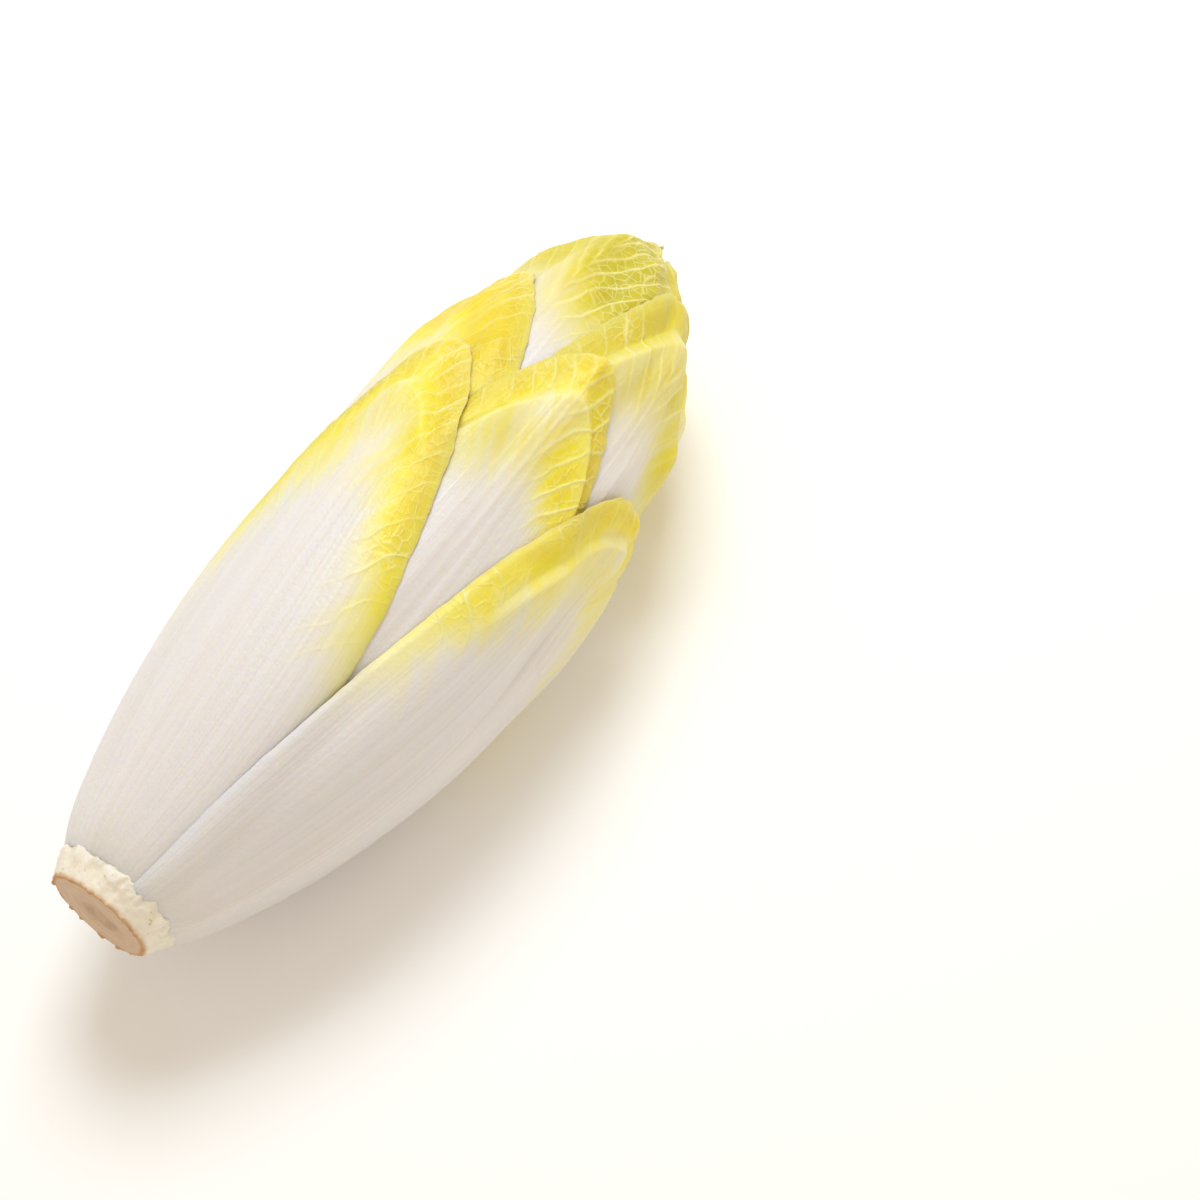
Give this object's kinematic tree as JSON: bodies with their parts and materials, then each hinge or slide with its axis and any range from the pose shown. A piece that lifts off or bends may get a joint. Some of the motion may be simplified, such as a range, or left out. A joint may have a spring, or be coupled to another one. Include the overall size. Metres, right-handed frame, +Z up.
{
  "type": "endive spear",
  "caption": "Head of Belgian endive lying on its side: pale overlapping leaves with yellow tips around a short cut stem",
  "frame": {"origin": "on the surface the head lies on, under the middle of its length and of its stem's axis", "axes": "+X along the head from the cut foot to the leaf tips, +Z up from the surface it lies on, +Y across the head"},
  "size_m": [0.16, 0.0583, 0.0552],
  "materials": {
    "stem": "rough, dry cut stem tissue, cream to tan",
    "outer_leaf": "satin, faintly translucent leaf, white with a yellow margin and tip",
    "inner_leaf": "satin, pale cream leaf inside the head",
    "heart": "satin, pale yellow folded heart leaves"
  },
  "bodies": {
    "root": {"stem": "stem", "heart_bud": "heart", "outer_leaf_01": "outer_leaf", "outer_leaf_02": "outer_leaf", "outer_leaf_03": "outer_leaf", "outer_leaf_04": "outer_leaf", "outer_leaf_05": "outer_leaf", "outer_leaf_06": "outer_leaf", "outer_leaf_07": "outer_leaf", "outer_leaf_08": "outer_leaf", "outer_leaf_09": "outer_leaf", "outer_leaf_10": "outer_leaf", "outer_leaf_11": "outer_leaf", "outer_leaf_12": "outer_leaf", "outer_leaf_13": "outer_leaf", "outer_leaf_14": "outer_leaf", "inner_leaf_01": "inner_leaf", "inner_leaf_02": "inner_leaf", "inner_leaf_03": "inner_leaf", "inner_leaf_04": "inner_leaf", "inner_leaf_05": "inner_leaf", "inner_leaf_06": "inner_leaf", "inner_leaf_07": "inner_leaf", "inner_leaf_08": "inner_leaf"}
  },
  "joints": []
}
